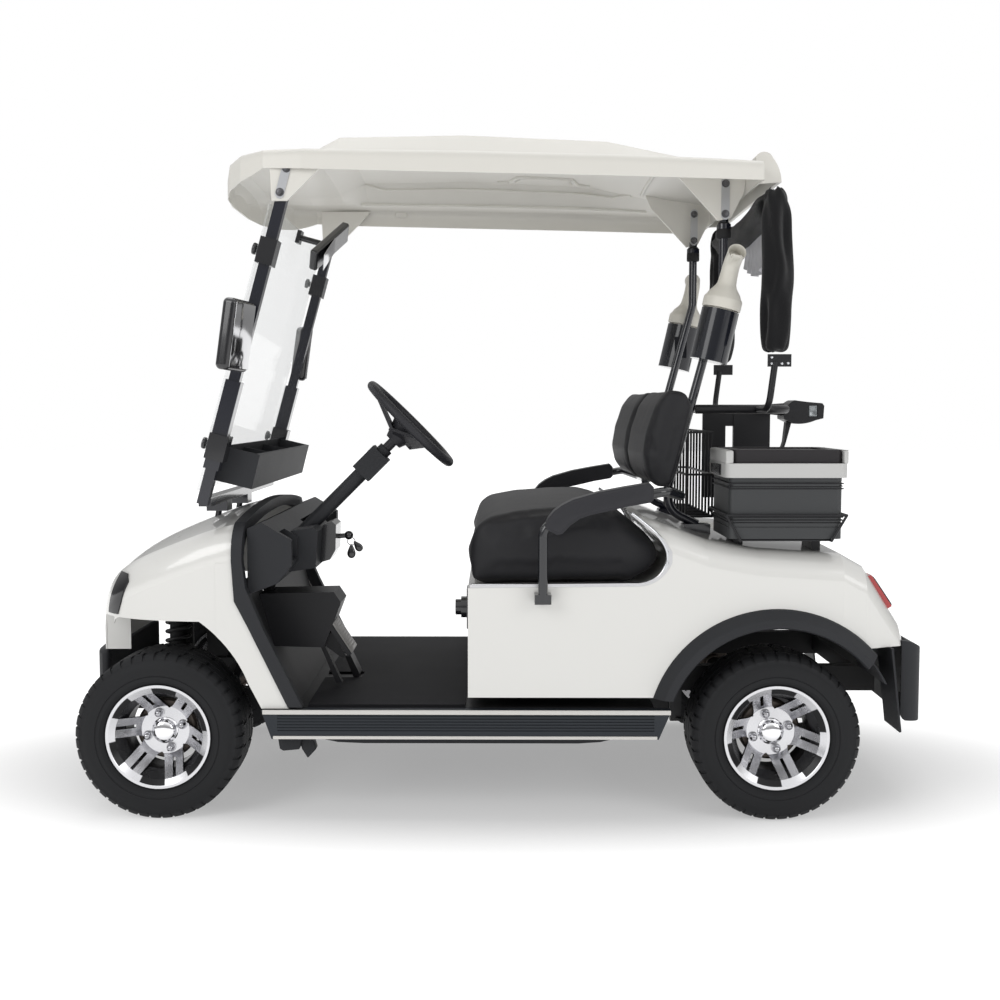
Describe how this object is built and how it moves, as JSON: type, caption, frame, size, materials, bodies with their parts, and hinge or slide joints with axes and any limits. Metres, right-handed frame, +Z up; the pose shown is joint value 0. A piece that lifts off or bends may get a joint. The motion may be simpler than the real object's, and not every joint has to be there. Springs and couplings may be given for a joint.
{
  "type": "golf cart",
  "caption": "Two-seat electric golf cart with a roof, folding windscreen, alloy wheels, sand bottles, bag rack with rain cover, and a cooler on the rear fender.",
  "frame": {"origin": "on the ground under the middle of the cart's length and width", "axes": "+X points to the rear of the cart, +Y to its right side (seen by the driver), +Z up; the tyres stand on Z = 0"},
  "size_m": [2.37, 1.2732, 1.8757],
  "materials": {
    "body_paint": "pearl gloss",
    "roof_plastic": "fine moulded grain",
    "black_plastic": "grained",
    "gloss_black": "gloss",
    "sill_plastic": "ribbed",
    "post_paint": "gloss black",
    "frame_paint": "black",
    "axle_iron": "painted black",
    "motor_metal": "painted",
    "spring_steel": "dull",
    "battery_case": "satin",
    "tyre_rubber": "matt",
    "rim_alloy": "machined with black windows",
    "drum_iron": "bare",
    "lamp_lens": "smoked",
    "tail_lens": "clear red",
    "seat_vinyl": "grained vinyl",
    "bright_trim": "satin",
    "arm_tube": "gloss black",
    "mat_rubber": "ribbed",
    "screen_acrylic": "clear",
    "mirror_glass": "gloss",
    "bottle_plastic": "satin cream",
    "rack_paint": "satin black",
    "cooler_plastic": "satin",
    "lid_plastic": "satin",
    "cover_cloth": "woven",
    "wheel_rim_plastic": "grained",
    "pedal_metal": "cast"
  },
  "bodies": {
    "cart": {"armrest_pads": "gloss_black", "armrests": "arm_tube", "bag_cover": "cover_cloth", "bag_rack": "rack_paint", "battery_pack": "battery_case", "bottle_holders": "rack_paint", "cabin_mirror": "mirror_glass", "chassis_frame": "frame_paint", "cooler_body": "cooler_plastic", "cooler_rack": "rack_paint", "cover_frame": "rack_paint", "cowl_edge_trims": "black_plastic", "dashboard": "black_plastic", "drive_motor": "motor_metal", "floor_mat": "mat_rubber", "floor_pan": "frame_paint", "front_bumper": "black_plastic", "front_cowl": "body_paint", "front_suspension": "axle_iron", "headlamps": "lamp_lens", "key_switch": "gloss_black", "pedals": "pedal_metal", "rear_axle": "axle_iron", "rear_body": "body_paint", "rear_bumper": "black_plastic", "rear_posts": "post_paint", "rear_springs": "spring_steel", "roof": "roof_plastic", "sand_bottles": "bottle_plastic", "seat_backs": "seat_vinyl", "seat_cushion": "seat_vinyl", "seat_trim": "bright_trim", "side_mirrors": "mirror_glass", "side_sills": "sill_plastic", "steering_column": "black_plastic", "storage_tray": "black_plastic", "tail_lamps": "tail_lens", "underbody_tray": "black_plastic", "wheel_arch_flares": "black_plastic", "wheel_liners": "black_plastic", "windscreen": "screen_acrylic", "windscreen_clamps": "gloss_black", "windscreen_posts": "post_paint", "wire_basket": "rack_paint"},
    "wheel_front_left": {"tyre_front_left": "tyre_rubber", "rim_front_left": "rim_alloy", "hub_front_left": "drum_iron"},
    "wheel_front_right": {"tyre_front_right": "tyre_rubber", "rim_front_right": "rim_alloy", "hub_front_right": "drum_iron"},
    "wheel_rear_left": {"tyre_rear_left": "tyre_rubber", "rim_rear_left": "rim_alloy", "hub_rear_left": "drum_iron"},
    "wheel_rear_right": {"tyre_rear_right": "tyre_rubber", "rim_rear_right": "rim_alloy", "hub_rear_right": "drum_iron"},
    "knuckle_left": {"knuckle_left": "axle_iron"},
    "knuckle_right": {"knuckle_right": "axle_iron"},
    "steering_wheel": {"steering_wheel": "wheel_rim_plastic"},
    "cooler_lid": {"cooler_lid": "lid_plastic"}
  },
  "joints": [
    {"name": "front_left_wheel_spin", "type": "hinge", "parent": "knuckle_left", "child": "wheel_front_left", "pos_m": [-0.92, -0.473, 0.228], "axis": [0, 1, 0], "continuous": true},
    {"name": "front_right_wheel_spin", "type": "hinge", "parent": "knuckle_right", "child": "wheel_front_right", "pos_m": [-0.92, 0.473, 0.228], "axis": [0, 1, 0], "continuous": true},
    {"name": "rear_left_wheel_spin", "type": "hinge", "parent": "cart", "child": "wheel_rear_left", "pos_m": [0.75, -0.473, 0.228], "axis": [0, 1, 0], "continuous": true},
    {"name": "rear_right_wheel_spin", "type": "hinge", "parent": "cart", "child": "wheel_rear_right", "pos_m": [0.75, 0.473, 0.228], "axis": [0, 1, 0], "continuous": true},
    {"name": "left_steer", "type": "hinge", "parent": "cart", "child": "knuckle_left", "pos_m": [-0.92, -0.402, 0.228], "axis": [0, 0, 1], "range_deg": [-28, 28]},
    {"name": "right_steer", "type": "hinge", "parent": "cart", "child": "knuckle_right", "pos_m": [-0.92, 0.402, 0.228], "axis": [0, 0, 1], "range_deg": [-28, 28]},
    {"name": "steering_wheel_turn", "type": "hinge", "parent": "cart", "child": "steering_wheel", "pos_m": [-0.252, -0.27, 1.07], "axis": [0.7071, 0, 0.7071], "range_deg": [-420, 420]},
    {"name": "cooler_lid_hinge", "type": "hinge", "parent": "cart", "child": "cooler_lid", "pos_m": [0.767, -0.285, 0.9736], "axis": [-1, 0, 0], "range_deg": [0, 30]}
  ],
  "couplings": [
    {"joint": "left_steer", "follows": "steering_wheel_turn", "ratio": 0.066667},
    {"joint": "right_steer", "follows": "steering_wheel_turn", "ratio": 0.066667}
  ]
}
